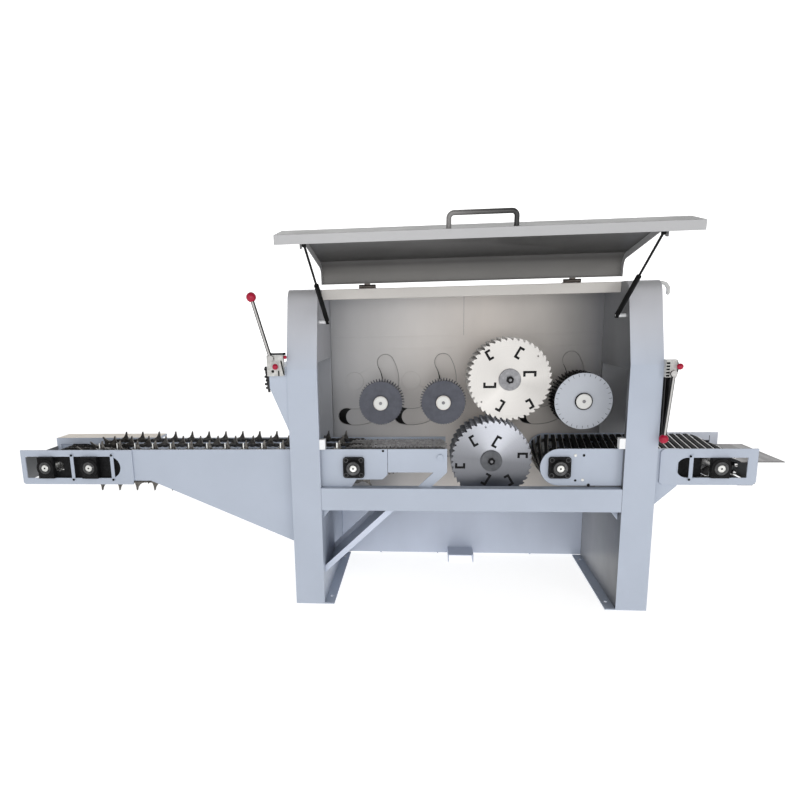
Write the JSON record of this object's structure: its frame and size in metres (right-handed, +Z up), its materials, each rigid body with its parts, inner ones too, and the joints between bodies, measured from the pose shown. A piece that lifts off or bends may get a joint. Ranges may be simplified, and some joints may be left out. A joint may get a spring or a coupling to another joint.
{
  "type": "multi rip saw",
  "caption": "Multi rip saw with twin arbours of gang blades, spiked chain infeed, slat chain outfeed, press rollers and a front lid on gas springs",
  "frame": {"origin": "on the floor, centre of the four anchor holes in the foot flanges", "axes": "+X is the feed direction, from infeed to outfeed; +Y points from the lid side to the back; +Z is up"},
  "size_m": [3.759, 2.0343, 1.8164],
  "materials": {
    "body_paint": "light blue grey satin paint",
    "bare_sheet": "satin",
    "chain_steel": "oiled dark steel",
    "black_rubber": "matt",
    "white_parts": "satin",
    "black_iron": "black paint",
    "shaft_steel": "turned",
    "motor_grey": "grey paint",
    "blade_steel": "ground",
    "roller_steel": "dark phosphated steel",
    "lever_steel": "polished, red ball",
    "red_knob": "gloss"
  },
  "bodies": {
    "machine": {"side_frame_left": "body_paint", "side_frame_right": "body_paint", "lower_beam": "body_paint", "top_beam": "body_paint", "roof_panel": "body_paint", "rear_wall": "bare_sheet", "back_panel": "body_paint", "sawdust_chute": "body_paint", "infeed_frame": "body_paint", "infeed_tail_plates": "body_paint", "infeed_chain": "chain_steel", "transition_bed": "body_paint", "transition_chain": "chain_steel", "outfeed_frame": "body_paint", "outfeed_tail_plates": "body_paint", "outfeed_chain": "chain_steel", "discharge_slide": "bare_sheet", "infeed_hood": "body_paint", "guard_curtains": "black_rubber", "frame_lugs": "white_parts", "shaft_bearings": "black_iron", "lever_bodies": "white_parts", "hinge_frame_leaves": "shaft_steel", "motor_base": "body_paint", "main_motors": "motor_grey", "drive_belts": "black_rubber", "belt_guard": "body_paint", "feed_gearmotors": "motor_grey"},
    "lid": {"lid_sheet": "body_paint", "lid_band": "body_paint", "lid_handle": "black_iron", "hinge_lid_leaves": "shaft_steel"},
    "gas_tube_left": {"gas_tube_left": "black_iron"},
    "gas_tube_right": {"gas_tube_right": "black_iron"},
    "gas_rod_left": {"gas_rod_left": "shaft_steel"},
    "gas_rod_right": {"gas_rod_right": "shaft_steel"},
    "upper_arbor": {"upper_arbor": "shaft_steel", "upper_blades": "blade_steel"},
    "lower_arbor": {"lower_arbor": "shaft_steel", "lower_blades": "blade_steel"},
    "upper_motor_rotor": {"upper_motor_pulley": "black_iron"},
    "lower_motor_rotor": {"lower_motor_pulley": "black_iron"},
    "press_arm_1": {"press_arm_1": "bare_sheet"},
    "press_arm_2": {"press_arm_2": "bare_sheet"},
    "press_arm_3": {"press_arm_3": "bare_sheet"},
    "press_roller_1": {"press_roller_1": "roller_steel"},
    "press_roller_2": {"press_roller_2": "roller_steel"},
    "press_roller_3": {"press_roller_3": "bare_sheet"},
    "infeed_drive": {"infeed_drive_shaft": "shaft_steel"},
    "infeed_idler": {"infeed_idler_shaft": "shaft_steel"},
    "infeed_takeup": {"infeed_takeup": "black_iron"},
    "infeed_tail": {"infeed_tail_shaft": "shaft_steel"},
    "nose": {"nose_shaft": "shaft_steel"},
    "outfeed_drive": {"outfeed_drive_shaft": "shaft_steel"},
    "outfeed_takeup": {"outfeed_takeup": "black_iron"},
    "outfeed_tail": {"outfeed_tail_shaft": "shaft_steel"},
    "hand_lever_left": {"hand_lever_left": "lever_steel"},
    "hand_lever_right": {"hand_lever_right": "lever_steel"},
    "plunger_left": {"plunger_left": "red_knob"},
    "plunger_right": {"plunger_right": "red_knob"}
  },
  "joints": [
    {"name": "lid_hinge", "type": "hinge", "parent": "machine", "child": "lid", "pos_m": [0, -0.168, 1.588], "axis": [1, 0, 0], "range_deg": [0, 83]},
    {"name": "gas_tube_left_pivot", "type": "hinge", "parent": "machine", "child": "gas_tube_left", "pos_m": [-0.682, -0.265, 1.421], "axis": [1, 0, 0], "range_deg": [0, 105]},
    {"name": "gas_rod_left_slide", "type": "slide", "parent": "gas_tube_left", "child": "gas_rod_left", "axis": [0, -0.8844, 0.4666], "range_m": [-0.1535, 0]},
    {"name": "gas_tube_right_pivot", "type": "hinge", "parent": "machine", "child": "gas_tube_right", "pos_m": [0.682, -0.265, 1.421], "axis": [1, 0, 0], "range_deg": [0, 105]},
    {"name": "gas_rod_right_slide", "type": "slide", "parent": "gas_tube_right", "child": "gas_rod_right", "axis": [0, -0.8844, 0.4666], "range_m": [-0.1535, 0]},
    {"name": "upper_arbor_spin", "type": "hinge", "parent": "machine", "child": "upper_arbor", "pos_m": [0.202, 0, 1.12596], "axis": [0, 1, 0], "continuous": true},
    {"name": "lower_arbor_spin", "type": "hinge", "parent": "machine", "child": "lower_arbor", "pos_m": [0.121, 0, 0.722], "axis": [0, 1, 0], "continuous": true},
    {"name": "upper_motor_spin", "type": "hinge", "parent": "machine", "child": "upper_motor_rotor", "pos_m": [0.6, 0.43, 0.33], "axis": [0, 1, 0], "continuous": true},
    {"name": "lower_motor_spin", "type": "hinge", "parent": "machine", "child": "lower_motor_rotor", "pos_m": [-0.31, 0.43, 0.33], "axis": [0, 1, 0], "continuous": true},
    {"name": "press_arm_1_swing", "type": "hinge", "parent": "machine", "child": "press_arm_1", "pos_m": [-0.59867, 0.145, 1.092], "axis": [0, -1, 0], "range_deg": [0, 40]},
    {"name": "press_roller_1_spin", "type": "hinge", "parent": "press_arm_1", "child": "press_roller_1", "pos_m": [-0.431, -0.12, 1.01382], "axis": [0, 1, 0], "continuous": true},
    {"name": "press_arm_2_swing", "type": "hinge", "parent": "machine", "child": "press_arm_2", "pos_m": [-0.28567, 0.145, 1.092], "axis": [0, -1, 0], "range_deg": [0, 11]},
    {"name": "press_roller_2_spin", "type": "hinge", "parent": "press_arm_2", "child": "press_roller_2", "pos_m": [-0.118, -0.12, 1.01382], "axis": [0, 1, 0], "continuous": true},
    {"name": "press_arm_3_swing", "type": "hinge", "parent": "machine", "child": "press_arm_3", "pos_m": [0.39333, 0.145, 1.092], "axis": [0, -1, 0], "range_deg": [0, 40]},
    {"name": "press_roller_3_spin", "type": "hinge", "parent": "press_arm_3", "child": "press_roller_3", "pos_m": [0.561, -0.12, 1.01382], "axis": [0, 1, 0], "continuous": true},
    {"name": "infeed_drive_spin", "type": "hinge", "parent": "machine", "child": "infeed_drive", "pos_m": [-0.56, -0.1275, 0.7125], "axis": [0, 1, 0], "continuous": true},
    {"name": "infeed_idler_spin", "type": "hinge", "parent": "machine", "child": "infeed_idler", "pos_m": [-1.928, -0.1275, 0.7125], "axis": [0, 1, 0], "continuous": true},
    {"name": "infeed_takeup_slide", "type": "slide", "parent": "machine", "child": "infeed_takeup", "axis": [1, 0, 0], "range_m": [0, 0.06]},
    {"name": "infeed_tail_spin", "type": "hinge", "parent": "infeed_takeup", "child": "infeed_tail", "pos_m": [-2.166, -0.1275, 0.7125], "axis": [0, 1, 0], "continuous": true},
    {"name": "nose_spin", "type": "hinge", "parent": "machine", "child": "nose", "pos_m": [-0.135, -0.1275, 0.762], "axis": [0, 1, 0], "continuous": true},
    {"name": "outfeed_drive_spin", "type": "hinge", "parent": "machine", "child": "outfeed_drive", "pos_m": [0.434, -0.1275, 0.7125], "axis": [0, 1, 0], "continuous": true},
    {"name": "outfeed_takeup_slide", "type": "slide", "parent": "machine", "child": "outfeed_takeup", "axis": [-1, 0, 0], "range_m": [0, 0.04]},
    {"name": "outfeed_tail_spin", "type": "hinge", "parent": "outfeed_takeup", "child": "outfeed_tail", "pos_m": [1.164, -0.1275, 0.7125], "axis": [0, 1, 0], "continuous": true},
    {"name": "hand_lever_left_swing", "type": "hinge", "parent": "machine", "child": "hand_lever_left", "pos_m": [-0.93688, -0.422, 1.25728], "axis": [0, -1, 0], "range_deg": [-35, 35]},
    {"name": "hand_lever_right_swing", "type": "hinge", "parent": "machine", "child": "hand_lever_right", "pos_m": [0.90298, -0.422, 1.15999], "axis": [0, -1, 0], "range_deg": [0, 35]},
    {"name": "plunger_left_pull", "type": "slide", "parent": "machine", "child": "plunger_left", "axis": [0, -1, 0], "range_m": [0, 0.012], "stiffness_N_per_m": 300},
    {"name": "plunger_right_pull", "type": "slide", "parent": "machine", "child": "plunger_right", "axis": [0, -1, 0], "range_m": [0, 0.012], "stiffness_N_per_m": 300}
  ],
  "couplings": [
    {"joint": "gas_tube_left_pivot", "follows": "lid_hinge", "ratio": 1.2514},
    {"joint": "gas_rod_left_slide", "follows": "lid_hinge", "m_per_rad": -0.10492},
    {"joint": "gas_tube_right_pivot", "follows": "lid_hinge", "ratio": 1.2514},
    {"joint": "gas_rod_right_slide", "follows": "lid_hinge", "m_per_rad": -0.10492},
    {"joint": "upper_motor_spin", "follows": "upper_arbor_spin", "ratio": 0.86364},
    {"joint": "lower_motor_spin", "follows": "lower_arbor_spin", "ratio": 0.86364},
    {"joint": "infeed_idler_spin", "follows": "infeed_drive_spin", "ratio": 1},
    {"joint": "infeed_tail_spin", "follows": "infeed_drive_spin", "ratio": 1},
    {"joint": "nose_spin", "follows": "infeed_drive_spin", "ratio": 2.5},
    {"joint": "outfeed_tail_spin", "follows": "outfeed_drive_spin", "ratio": 1}
  ]
}
